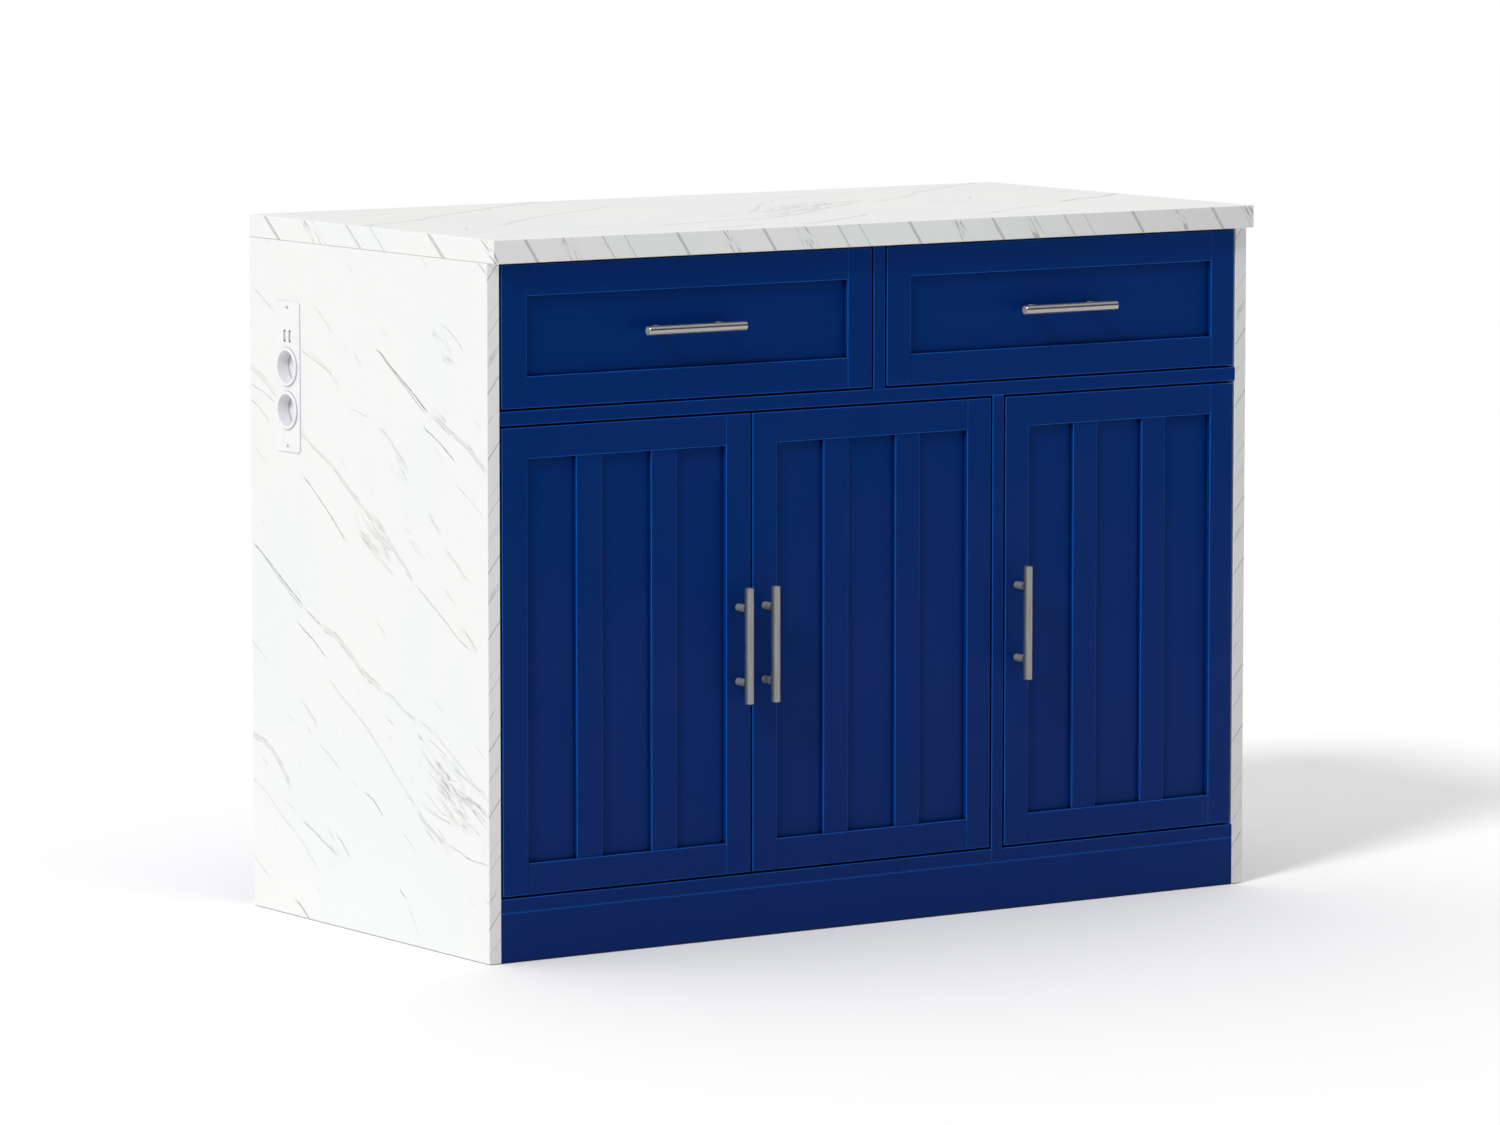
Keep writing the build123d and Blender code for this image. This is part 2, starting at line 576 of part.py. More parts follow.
for drawer, bay in DRAWERS:
    drawer_x = (bay[0] + GAP, bay[1] - GAP)
    pull_x = centre(drawer_x)
    pull_z = centre(DRAWER_Z)
    drawer_bolts = [(pull_x - POST_PITCH / 2, pull_z), (pull_x + POST_PITCH / 2, pull_z)]
    front_panel(drawer, drawer_x, DRAWER_Z, [], drawer_bolts)
    front_frame(drawer, drawer_x, DRAWER_Z, [], [])
    bar_handle(drawer, drawer_bolts, PANEL_FACE)
    drawer_box(drawer, (bay[0] + SLIDE_T, bay[1] - SLIDE_T))
    runner_y = (BOX_Y[0] + 2, BOX_Y[1] - 2)
    with BuildPart() as inner_members:
        channel(bay[0], 1, (4.5, SLIDE_T), 14.4, "near", runner_y)
        channel(bay[1], -1, (4.5, SLIDE_T), 14.4, "near", runner_y)
    save(inner_members, f"{drawer}_slide_inner_members")
    with BuildPart() as middle_members:
        channel(bay[0], 1, (1.8, 10.6), 18.6, "far", runner_y)
        channel(bay[1], -1, (1.8, 10.6), 18.6, "far", runner_y)
    save(middle_members, f"{drawer}_slide_middle_members")

with BuildPart() as slide_outer_members:
    for drawer, bay in DRAWERS:
        channel(bay[0], 1, (0, 9.2), 22.5, "far", BOX_Y)
        channel(bay[1], -1, (0, 9.2), 22.5, "far", BOX_Y)
save(slide_outer_members, "slide_outer_members")
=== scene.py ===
"""Looks of the kitchen island: materials, fine trim, soft light, floor and camera.

Metres, in the frame of the CAD model: +X right along the front, +Y to the back, +Z up.
"""

import json
import math
from collections import namedtuple

import bmesh
import bpy
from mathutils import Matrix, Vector


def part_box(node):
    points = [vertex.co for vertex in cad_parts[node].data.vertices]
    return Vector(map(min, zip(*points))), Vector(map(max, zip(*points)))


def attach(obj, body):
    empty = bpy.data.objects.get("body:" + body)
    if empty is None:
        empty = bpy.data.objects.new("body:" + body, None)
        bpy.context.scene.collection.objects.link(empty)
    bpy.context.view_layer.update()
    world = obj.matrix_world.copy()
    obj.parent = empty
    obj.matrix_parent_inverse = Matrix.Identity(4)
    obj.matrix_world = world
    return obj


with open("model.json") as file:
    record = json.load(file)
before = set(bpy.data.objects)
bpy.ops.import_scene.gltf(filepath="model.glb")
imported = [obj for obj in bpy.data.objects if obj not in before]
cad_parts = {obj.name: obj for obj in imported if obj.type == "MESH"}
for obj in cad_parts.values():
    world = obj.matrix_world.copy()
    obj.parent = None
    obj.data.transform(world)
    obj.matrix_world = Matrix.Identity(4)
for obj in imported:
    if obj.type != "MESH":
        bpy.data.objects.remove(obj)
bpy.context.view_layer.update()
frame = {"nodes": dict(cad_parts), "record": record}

# ---------------------------------------------------------------- camera, first
YAW = math.radians(34.22)
PITCH = math.radians(-6.454)
CAMERA_AT = (-5.6548, -8.2968, 1.5838)
LENS = 182.51
SENSOR_WIDTH = 36.0
CLIP_END = 400.0

camera = bpy.data.cameras.new("camera")
camera.sensor_fit = "HORIZONTAL"
camera.sensor_width = SENSOR_WIDTH
camera.lens = LENS
camera.clip_end = CLIP_END
camera_object = bpy.data.objects.new("camera", camera)
camera_object.location = CAMERA_AT
camera_object.rotation_euler = (math.pi / 2 + PITCH, 0.0, -YAW)
bpy.context.collection.objects.link(camera_object)
bpy.context.scene.camera = camera_object
bpy.context.scene.view_settings.view_transform = "Standard"


# ---------------------------------------------------------------- short calls for node trees
class Tree:
    """One material's nodes; each call adds a node and gives back its output socket."""

    def __init__(self, material):
        self.material = material
        self.material.use_nodes = True
        self.nodes = self.material.node_tree.nodes
        self.links = self.material.node_tree.links
        self.shader = self.nodes["Principled BSDF"]
        where = self.nodes.new("ShaderNodeTexCoord")
        self.place = where.outputs["Object"]
        self.normal = where.outputs["Normal"]

    def put(self, socket, value):
        if isinstance(value, bpy.types.NodeSocket):
            self.links.new(value, socket)
        else:
            socket.default_value = value

    def set(self, **inputs):
        """Set or link the shader's inputs, named with underscores for spaces."""
        for name, value in inputs.items():
            self.put(self.shader.inputs[name.replace("_", " ")], value)

    def math(self, operation, a, b=0.0):
        node = self.nodes.new("ShaderNodeMath")
        node.operation = operation
        self.put(node.inputs[0], a)
        self.put(node.inputs[1], b)
        return node.outputs[0]

    def vector_math(self, operation, a, b=(0, 0, 0)):
        node = self.nodes.new("ShaderNodeVectorMath")
        node.operation = operation
        self.put(node.inputs[0], a)
        self.put(node.inputs[1], b)
        return node.outputs["Value" if operation == "DOT_PRODUCT" else 0]

    def parts(self, vector):
        node = self.nodes.new("ShaderNodeSeparateXYZ")
        self.put(node.inputs[0], vector)
        return node.outputs

    def join(self, x, y, z=0.0):
        node = self.nodes.new("ShaderNodeCombineXYZ")
        for socket, value in zip(node.inputs, (x, y, z)):
            self.put(socket, value)
        return node.outputs[0]

    def noise(self, vector, scale, detail=2.0, roughness=0.5, distortion=0.0):
        node = self.nodes.new("ShaderNodeTexNoise")
        self.put(node.inputs["Vector"], vector)
        node.inputs["Scale"].default_value = scale
        node.inputs["Detail"].default_value = detail
        node.inputs["Roughness"].default_value = roughness
        node.inputs["Distortion"].default_value = distortion
        return node.outputs[0]

    def ramp(self, value, low, high, to_low=0.0, to_high=1.0):
        """Smooth step of value from low to high, mapped to to_low .. to_high."""
        node = self.nodes.new("ShaderNodeMapRange")
        node.interpolation_type = "SMOOTHSTEP"
        for socket, entry in zip(node.inputs, (value, low, high, to_low, to_high)):
            self.put(socket, entry)
        return node.outputs[0]

    def mix(self, factor, a, b):
        node = self.nodes.new("ShaderNodeMix")
        node.data_type = "RGBA"
        self.put(node.inputs[0], factor)
        self.put(node.inputs[6], a)
        self.put(node.inputs[7], b)
        return node.outputs[2]

    def bump(self, height, strength, distance):
        node = self.nodes.new("ShaderNodeBump")
        self.put(node.inputs["Height"], height)
        node.inputs["Strength"].default_value = strength
        node.inputs["Distance"].default_value = distance
        return node.outputs[0]

    def openness(self, reach, samples):
        """1 on open surface, less where other surface stands nearer than reach."""
        node = self.nodes.new("ShaderNodeAmbientOcclusion")
        node.samples = samples
        node.inputs["Distance"].default_value = reach
        return node.outputs["AO"]

    def facing(self, axis, low=0.7, high=0.8):
        """1 on faces whose object-space normal lies along the axis."""
        along = self.math("ABSOLUTE", self.vector_math("DOT_PRODUCT", self.normal, axis))
        return self.ramp(along, low, high)

    def arris(self):
        """1 on the rounded edges, where the normal lies along no axis."""
        x, y, z = (self.math("ABSOLUTE", part) for part in self.parts(self.normal))
        longest = self.math("MAXIMUM", self.math("MAXIMUM", x, y), z)
        return self.ramp(longest, 0.997, 0.95)


def new_tree(name):
    return Tree(bpy.data.materials.new(name))


def rgb(red, green, blue):
    """A colour from 0-255 screen values to the linear values that nodes take."""
    def linear(value):
        value /= 255
        return value / 12.92 if value <= 0.04045 else ((value + 0.055) / 1.055) ** 2.4
    return (linear(red), linear(green), linear(blue), 1.0)


def dimmed(colour, share):
    return tuple(value * share for value in colour[:3]) + (1.0,)


# ---------------------------------------------------------------- marble laminate
# painted light: the laminate's upward face is given a lighter tone than its sides, as light falls on it from
# above
TOP_SHEET_LIT = rgb(238, 238, 236)
TOP_SHEET_LIT_COOL = rgb(235, 237, 236)
LAMINATE = rgb(229, 229, 228)
LAMINATE_COOL = rgb(226, 229, 228)
EDGE_SHADE_RIGHT = rgb(215, 215, 215)     # painted shade: the darker tone that the front and back edges fade to at the right, where less light falls
VEIN = rgb(120, 117, 117)
LEAN = math.radians(32)             # the figure runs downhill at this angle
STROKE_GAP = 24                     # least clear length, in mm, between two strokes drawn by one curve
WIDEST = 10.0                       # half width, in mm, at the top of the width curve
MARGIN = 20.0                       # clear length, in mm, past the ends of the curves
FADE = 12.0                         # most length, in mm, over which a stroke's ends fade
CORE = 0.4                          # share of its half width that a single stroke fills with full tone
STRAND_AT = 0.62                    # share of the half width at which each of two strands runs
STRAND_HALF = 0.36                  # half width of such a strand, as a share of the stroke's
BETWEEN = 0.42                      # tone between two strands

# strokes of the figure: half width in mm, darkness, strands (1 or 2) and the points in mm
# side panel: across is 0 at mid depth and grows to the front, up is the height over the floor
PANEL_STROKES = (
    (1.4, 0.85, 1, ((8, 762), (60, 734), (138, 688))),
    (1.1, 0.60, 1, ((20, 754), (78, 720), (134, 685))),
    (4.0, 0.55, 2, ((140, 687), (183, 670), (225, 655), (252, 639), (276, 622))),
    (1.3, 0.79, 1, ((122, 673), (160, 655), (202, 630))),
    (1.1, 0.40, 1, ((165, 805), (190, 795), (225, 768))),
    (1.1, 0.34, 1, ((176, 790), (186, 775), (196, 762))),
    (1.2, 0.37, 1, ((-300, 822), (-270, 807), (-242, 792))),
    (1.2, 0.40, 1, ((-180, 751), (-131, 732), (-93, 718))),
    (1.1, 0.24, 1, ((-166, 750), (-109, 725), (-77, 704))),
    (1.0, 0.32, 1, ((-62, 685), (-28, 676), (-6, 671))),
    (2.6, 0.46, 2, ((14, 664), (38, 650), (69, 627), (88, 614))),
    (3.0, 0.40, 2, ((132, 563), (150, 549), (166, 534))),
    (2.4, 0.40, 2, ((172, 520), (202, 502), (234, 481))),
    (1.1, 0.29, 1, ((-149, 808), (-122, 794), (-106, 781), (-93, 770))),
    (1.1, 0.40, 1, ((-46, 754), (-24, 736))),
    (4.2, 0.36, 2, ((-310, 720), (-273, 703), (-242, 685), (-180, 655))),
    (1.2, 0.40, 1, ((-310, 698), (-270, 684), (-242, 672))),
    (1.2, 0.40, 1, ((-310, 676), (-278, 661), (-255, 645))),
    (3.0, 0.50, 2, ((-182, 642), (-144, 623), (-100, 601), (-55, 574), (-15, 549), (12, 538))),
    (2.0, 0.46, 2, ((-24, 525), (-6, 506), (20, 490), (52, 472))),
    (1.0, 0.40, 1, ((-30, 543), (-12, 534), (6, 520), (24, 512))),
    (1.0, 0.40, 1, ((-14, 538), (4, 532), (20, 520), (36, 516))),
    (1.0, 0.36, 1, ((-20, 530), (-2, 522), (10, 510))),
    (0.9, 0.36, 1, ((2, 545), (18, 538), (34, 524))),
    (3.6, 0.48, 2, ((20, 532), (46, 512), (69, 494), (100, 469))),
    (1.4, 0.44, 1, ((100, 469), (127, 454), (167, 432), (203, 409), (236, 395))),
    (1.6, 0.66, 2, ((216, 427), (234, 409), (254, 392))),
    (1.2, 0.66, 1, ((-175, 585), (-144, 565), (-104, 536), (-64, 506))),
    (1.4, 0.85, 1, ((-302, 485), (-240, 450), (-173, 412))),
    (1.1, 0.60, 1, ((-273, 467), (-226, 437), (-175, 407))),
    (1.6, 0.50, 1, ((-173, 411), (-150, 400), (-126, 389))),
    (5.0, 0.50, 2, ((-130, 392), (-86, 378), (-51, 356), (-15, 336), (20, 322))),
    (2.6, 0.48, 2, ((16, 323), (43, 318), (78, 300), (107, 291))),
    (1.3, 0.73, 1, ((-193, 392), (-150, 370), (-115, 349))),
    (1.8, 0.42, 2, ((105, 293), (123, 289), (190, 258), (234, 231), (276, 207))),
    (2.2, 0.55, 2, ((118, 254), (163, 227), (210, 212), (276, 190))),
    (2.0, 0.48, 2, ((150, 222), (196, 206), (240, 196), (276, 177))),
    (0.9, 0.50, 1, ((128, 272), (160, 262), (200, 240), (240, 225), (276, 214))),
    (0.9, 0.45, 1, ((112, 262), (126, 248), (150, 236), (175, 226), (205, 222))),
    (1.0, 0.50, 1, ((133, 236), (140, 226), (165, 214), (190, 200))),
    (1.3, 0.55, 1, ((180, 222), (205, 208), (235, 204), (262, 194), (276, 186))),
    (1.0, 0.45, 1, ((150, 213), (170, 203), (182, 192))),
    (0.9, 0.45, 1, ((122, 203), (140, 195), (160, 182), (185, 176))),
    (4.5, 0.48, 2, ((184, 214), (210, 203), (244, 199))),
    (0.9, 0.40, 1, ((140, 188), (150, 178), (165, 172), (190, 170))),
    (0.9, 0.40, 1, ((214, 180), (240, 170), (262, 160))),
    (1.8, 0.53, 2, ((114, 189), (150, 176), (190, 166))),
    (2.0, 0.53, 2, ((-115, 325), (-91, 311), (-51, 289), (-11, 265), (12, 247), (47, 222), (78, 198),
                    (104, 180))),
    (3.2, 0.61, 2, ((104, 180), (130, 162), (158, 146), (176, 140))),
    (1.4, 0.51, 1, ((176, 140), (198, 138), (234, 129), (276, 124))),
    (1.6, 0.50, 2, ((-310, 358), (-290, 344), (-267, 329))),
    (3.8, 0.44, 2, ((-182, 289), (-162, 274), (-140, 256))),
    (1.1, 0.31, 1, ((-174, 258), (-149, 242))),
    (2.0, 0.44, 2, ((-137, 236), (-108, 222), (-80, 205))),
    (4.5, 0.50, 2, ((-310, 232), (-273, 222), (-247, 207), (-227, 189), (-207, 168))),
    (1.8, 0.35, 2, ((-310, 173), (-269, 153), (-233, 129), (-198, 111), (-166, 89), (-135, 64))),
    (1.3, 0.73, 1, ((-25, 186), (-2, 177), (25, 158))),
    (2.0, 0.40, 1, ((-182, 131), (-149, 118), (-113, 102), (-86, 96))),
    (1.6, 0.68, 2, ((-100, 127), (-80, 112), (-57, 93))),
    (1.5, 0.55, 2, ((-310, 71), (-286, 56), (-262, 41))),
    (1.4, 0.79, 1, ((-204, 24), (-184, 14), (-160, -2))),
    (1.3, 0.66, 1, ((60, 71), (78, 58))),
    (1.2, 0.29, 1, ((82, 54), (96, 36), (110, 14))),
    (1.2, 0.26, 1, ((65, 144), (86, 134), (105, 120))),
    (1.1, 0.40, 1, ((5, 414), (34, 391))),
    (1.2, 0.29, 1, ((196, 607), (232, 588), (272, 564))),
    (1.2, 0.26, 1, ((240, 278), (272, 259))),
    (1.2, 0.40, 1, ((29, 291), (52, 280))),
    (1.5, 0.60, 1, ((252, 889), (276, 872))),
    (1.1, 0.34, 1, ((120, 886), (136, 873))),
)
# scribbled patches: middle, half length along the figure, half width, darkness
PANEL_PATCHES = (
    ((205, 205), 105, 42, 0.75), ((150, 150), 50, 14, 0.55), ((4, 520), 60, 28, 0.8), ((66, 613), 34, 17, 0.8),
    ((30, 655), 40, 10, 0.35), ((222, 407), 30, 12, 0.4), ((-150, 409), 22, 9, 0.5), ((165, 692), 24, 12, 0.7),
    ((172, 775), 40, 16, 0.5), ((122, 268), 20, 8, 0.7), ((100, 520), 40, 12, 0.3), ((-95, 95), 24, 12, 0.35),
)
# worktop: across is 0 at mid width and grows to the left, up grows to the back
TOP_STROKES = (
    (5.2, 0.50, 2, ((602, 20), (492, 77), (392, 150), (308, 204), (238, 250), (138, 310))),
    (4.1, 0.47, 2, ((446, -61), (346, 23), (254, 85), (192, 123), (123, 173))),
    (3.0, 0.42, 2, ((138, -104), (92, -69), (50, -50))),
    (3.4, 0.45, 2, ((52, -45), (10, -8), (-15, 23), (-62, 85), (-96, 118))),
    (3.0, 0.30, 2, ((-96, 118), (-146, 166), (-215, 208))),
    (2.2, 0.45, 1, ((60, -104), (10, -76), (-40, -40), (-84, -20))),
    (2.4, 0.45, 1, ((10, -40), (-40, -6), (-92, 26), (-140, 40))),
    (2.0, 0.40, 1, ((-30, 14), (-80, 50), (-130, 70), (-176, 96))),
    (2.4, 0.35, 1, ((-60, -50), (-110, -10), (-160, 22), (-200, 60))),
    (5.8, 0.47, 2, ((277, -184), (177, -154), (77, -138), (-8, -92), (-69, -38), (-100, 8), (-138, 46),
                    (-231, 85))),
    (4.8, 0.42, 2, ((-232, 56), (-285, 89), (-346, 135), (-400, 193), (-461, 231), (-538, 281), (-590, 312))),
    (3.9, 0.51, 2, ((-180, -248), (-231, -215), (-285, -180), (-331, -153), (-377, -123))),
    (4.4, 0.47, 1, ((-430, -92), (-477, -61), (-538, -38), (-604, 10))),
    (1.4, 0.41, 1, ((-361, 27), (-384, 50), (-408, 77))),
    (1.6, 0.41, 1, ((-523, 58), (-556, 76), (-585, 93))),
    (6.9, 0.26, 1, ((108, -261), (40, -225), (-15, -192), (-69, -154))),
    (5.8, 0.30, 1, ((261, -261), (205, -250), (154, -238))),
    (3.0, 0.30, 2, ((561, 143), (508, 170), (408, 231))),
    (1.4, 0.47, 1, ((531, -119), (516, -98), (500, -77))),
    (2.5, 0.32, 2, ((-246, 200), (-310, 232), (-400, 270), (-440, 302))),
    (1.1, 0.36, 1, ((139, -22), (112, 12))),
    (1.1, 0.36, 1, ((400, -180), (360, -152), (318, -120))),
    (1.1, 0.30, 1, ((560, -240), (520, -205), (470, -180))),
)
TOP_PATCHES = (
    ((-85, 10), 160, 50, 0.6), ((35, -98), 80, 26, 0.5), ((-452, -80), 52, 34, 0.5), ((190, 270), 60, 16, 0.4),
)
# scale of the fibres along and across the figure, per metre
FINE_FIBRES = (42.0, 330.0)
COARSE_FIBRES = (18.0, 95.0)
STREAKS = (30.0, 260.0)
STRAY_MARKS = (17.0, 120.0)
SLOW_WAVER, QUICK_WAVER = 0.0035, 0.0022    # how far, in metres, the strokes waver about their smooth lines


def turned_to_figure(x, y):
    """A point's place along and across the figure."""
    c, s = math.cos(LEAN), math.sin(LEAN)
    return x * c - y * s, x * s + y * c


Stroke = namedtuple("Stroke", "start half_width dark strands line")


def lay_strokes(strokes):
    """Share the strokes out among as few curves as hold them without overlap along the figure."""
    turned = []
    for half_width, dark, strands, points in strokes:
        line = sorted(turned_to_figure(x, y) for x, y in points)
        turned.append(Stroke(line[0][0], half_width, dark, strands, line))
    tracks = []
    for stroke in sorted(turned):
        for track in tracks:
            last = track[-1]
            if last.strands == stroke.strands and last.line[-1][0] + STROKE_GAP < stroke.start:
                track.append(stroke)
                break
        else:
            tracks.append([stroke])
    return tracks


def fill_curve(curve, points, handle):
    """Give a curve map its points, as shares of 1."""
    points = sorted(points)
    points = [(0.0, points[0][1])] + points + [(1.0, points[-1][1])]
    for at in points[1:-1]:
        curve.points.new(*at)
    for point, at in zip(curve.points, points):
        point.location = at
        point.handle_type = handle


def veins(tree, along, across, strokes, strands_streak):
    """All the strokes: one set of three curves (place, half width, darkness) for each track."""
    tracks = lay_strokes(strokes)
    points = [point for track in tracks for stroke in track for point in stroke.line]
    run_from, drift_from = (min(point[i] for point in points) - MARGIN for i in (0, 1))
    run_size = max(point[0] for point in points) + MARGIN - run_from
    drift_size = max(point[1] for point in points) + MARGIN - drift_from
    run = tree.math("MULTIPLY", tree.math("SUBTRACT", along, run_from / 1000), 1000 / run_size)
    drift = tree.math("MULTIPLY", tree.math("SUBTRACT", across, drift_from / 1000), 1000 / drift_size)

    def to_run(u):
        return (u - run_from) / run_size

    figure = 0.0
    for track in tracks:
        node = tree.nodes.new("ShaderNodeRGBCurve")
        tree.links.new(run, node.inputs["Color"])
        place, width, depth = [], [], []
        for start, half_width, dark, strands, line in track:
            end = line[-1][0]
            fade = min(FADE, (end - start) / 3)
            place += [(to_run(u), (w - drift_from) / drift_size) for u, w in line]
            width += [(to_run(u), half_width / WIDEST) for u in (start, end)]
            tones = ((start, 0), (start + fade, dark), (end - fade, dark), (end, 0))
            depth += [(to_run(u), tone) for u, tone in tones]
        fill_curve(node.mapping.curves[0], place, "AUTO_CLAMPED")
        fill_curve(node.mapping.curves[1], width, "VECTOR")
        fill_curve(node.mapping.curves[2], depth, "VECTOR")
        node.mapping.update()
        parts = tree.nodes.new("ShaderNodeSeparateColor")
        tree.links.new(node.outputs[0], parts.inputs[0])
        half = tree.math("MULTIPLY", parts.outputs[1], WIDEST / drift_size)
        off = tree.math("ABSOLUTE", tree.math("SUBTRACT", drift, parts.outputs[0]))
        if track[0].strands == 2:
            strand = tree.math("ABSOLUTE", tree.math("SUBTRACT", off, tree.math("MULTIPLY", half, STRAND_AT)))
            pair = tree.ramp(strand, tree.math("MULTIPLY", half, STRAND_HALF), 0.0)
            between = tree.ramp(off, half, 0.0, 0.0, BETWEEN)
            mark = tree.math("MAXIMUM", tree.math("MULTIPLY", pair, strands_streak), between)
        else:
            mark = tree.ramp(off, half, tree.math("MULTIPLY", half, CORE))
        figure = tree.math("MAXIMUM", figure, tree.math("MULTIPLY", mark, parts.outputs[2]))
    return figure


def fibre_noise(tree, along, across, scales, seed=0.0, **shape):
    """Noise drawn out along the figure; scales are per metre, along and across it."""
    place = tree.join(tree.math("MULTIPLY", along, scales[0]), tree.math("MULTIPLY", across, scales[1]), seed)
    return tree.noise(place, 1.0, **shape)


def waver(tree, place, scale, detail, reach):
    """A smooth drift to either side, over reach in all."""
    return tree.math("MULTIPLY", tree.math("SUBTRACT", tree.noise(place, scale, detail=detail), 0.5), reach)


def scribbles(tree, along, across, patches):
    """Frayed fibres that run with the figure, fine over coarse, inside soft oval patches."""
    fine = fibre_noise(tree, along, across, FINE_FIBRES, detail=2.0, roughness=0.6, distortion=0.5)
    fine = tree.ramp(fine, 0.50, 0.66)
    coarse = fibre_noise(tree, along, across, COARSE_FIBRES, seed=7.0, detail=2.0, distortion=0.6)
    coarse = tree.ramp(coarse, 0.44, 0.66)
    fibres = tree.math("MULTIPLY", tree.math("ADD", tree.math("MULTIPLY", fine, 0.8), 0.2), coarse)
    inside = 0.0
    for (x, y), length, width, dark in patches:
        u, w = turned_to_figure(x, y)
        du = tree.math("MULTIPLY", tree.math("SUBTRACT", along, u / 1000), 1000 / length)
        dw = tree.math("MULTIPLY", tree.math("SUBTRACT", across, w / 1000), 1000 / width)
        reach = tree.vector_math("DOT_PRODUCT", tree.join(du, dw), tree.join(du, dw))
        inside = tree.math("MAXIMUM", inside, tree.ramp(reach, 1.0, 0.2, 0.0, dark))
    return tree.math("MULTIPLY", fibres, inside)


def broad_figure(tree, x, y, strokes, patches):
    """Veins, scribbles and stray marks on a broad face; x and y in metres, the figure runs down along +x."""
    c, s = math.cos(LEAN), math.sin(LEAN)
    along = tree.math("SUBTRACT", tree.math("MULTIPLY", x, c), tree.math("MULTIPLY", y, s))
    across = tree.math("ADD", tree.math("MULTIPLY", x, s), tree.math("MULTIPLY", y, c))
    flow = tree.join(tree.math("MULTIPLY", along, 0.5), across)
    slow = waver(tree, flow, 38.0, 2.0, SLOW_WAVER)
    quick = waver(tree, flow, 190.0, 1.0, QUICK_WAVER)
    across = tree.math("ADD", across, tree.math("ADD", slow, quick))
    streaks = fibre_noise(tree, along, across, STREAKS)
    broken = tree.ramp(streaks, 0.38, 0.56, 0.25, 1.0)
    uneven = tree.ramp(streaks, 0.3, 0.6, 0.64, 1.0)
    figure = tree.math("MULTIPLY", veins(tree, along, across, strokes, broken), uneven)
    figure = tree.math("MAXIMUM", figure, scribbles(tree, along, across, patches))
    stray = fibre_noise(tree, along, across, STRAY_MARKS, seed=4.0, detail=1.0)
    return tree.math("MAXIMUM", figure, tree.ramp(stray, 0.70, 0.80, 0.0, 0.16))


BAND_REPEAT = 0.361                 # length, in metres, after which a narrow band's figure comes again
# its lines and scribbles: place and half width as shares of the repeat, and darkness
BAND_LINES = ((0.9965, 0.0032, 0.75), (0.0035, 0.0032, 0.75), (0.6295, 0.0032, 0.75), (0.6365, 0.0032, 0.75),
              (0.320, 0.0068, 0.36), (0.411, 0.0026, 0.52))
BAND_SCRIBBLES = ((0.160, 0.040, 0.50), (0.838, 0.027, 0.55))
COMB = (330.0, 60.0)                # scale of the scribbles' strokes along and across a band, per metre
BAND_WAVER = 0.004                  # how far the figure wavers along a band, as a share of the repeat
# where each band's figure starts, in metres from the end of the band
WORKTOP_FRONT_START, WORKTOP_SIDE_START = 0.046, 0.040
PANEL_LEFT_START, PANEL_RIGHT_START = 0.045, 0.051
# how far it is stretched, and its slant
WORKTOP_FRONT_BAND = (1.0, -0.66)
WORKTOP_SIDE_BAND = (1.773, -1.27)
PANEL_BAND = (0.626, -1.31)


def edge_band(tree, along, across, stretch, slant):
    """A narrow band's figure: slanting lines and small scribbles that repeat along the edge."""
    period = BAND_REPEAT * stretch
    shifted = tree.math("ADD", along, tree.math("MULTIPLY", across, slant))
    uneven = waver(tree, tree.join(along, across), 90.0, 2.0, BAND_WAVER)
    share = tree.math("FRACT", tree.math("ADD", tree.math("DIVIDE", shifted, period), uneven))
    figure = 0.0
    for place, half_width, dark in BAND_LINES:
        off = tree.math("ABSOLUTE", tree.math("SUBTRACT", share, place))
        figure = tree.math("MAXIMUM", figure, tree.ramp(off, half_width, half_width * 0.2, 0.0, dark))
    comb = tree.ramp(fibre_noise(tree, shifted, across, (COMB[0] / stretch, COMB[1]), detail=1.0), 0.52, 0.64)
    for place, spread, dark in BAND_SCRIBBLES:
        off = tree.math("ABSOLUTE", tree.math("SUBTRACT", share, place))
        near = tree.ramp(off, spread, spread * 0.4, 0.0, dark)
        figure = tree.math("MAXIMUM", figure, tree.math("MULTIPLY", comb, near))
    return figure


def marble(name, figure_maker):
    """Satin white laminate whose grey figure is made by figure_maker(tree, x, y, z)."""
    tree = new_tree(name)
    x, y, z = tree.parts(tree.place)
    figure = figure_maker(tree, x, y, z)
    cloud = tree.noise(tree.place, 4.0, detail=3.0)
    patch = tree.ramp(cloud, 0.44, 0.6)
    sides = tree.mix(patch, LAMINATE, LAMINATE_COOL)
    # painted shade: the front and back edges darken towards the right
    right_edge_shade = tree.math("MULTIPLY", tree.facing((0, 1, 0)), tree.ramp(x, 0.0, 0.55))
    sides = tree.mix(right_edge_shade, sides, EDGE_SHADE_RIGHT)
    # painted light: the upward face takes the lighter top tone, the other faces the side tone
    base = tree.mix(tree.facing((0, 0, 1)), sides, tree.mix(patch, TOP_SHEET_LIT, TOP_SHEET_LIT_COOL))
    colour = tree.mix(figure, base, VEIN)
    grain = tree.noise(tree.place, 900.0, detail=1.0)
    tree.set(Base_Color=colour, Roughness=tree.ramp(grain, 0.3, 0.7, 0.36, 0.44), Specular_IOR_Level=0.3,
             Normal=tree.bump(grain, 0.06, 0.0002))
    return tree.material


TOP_LOW, TOP_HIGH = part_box("worktop")
LEFT_LOW, LEFT_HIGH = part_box("side_panel_left")
RIGHT_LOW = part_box("side_panel_right")[0]
SEAM = 0.0016                       # height of the shadow line where the worktop meets a side panel


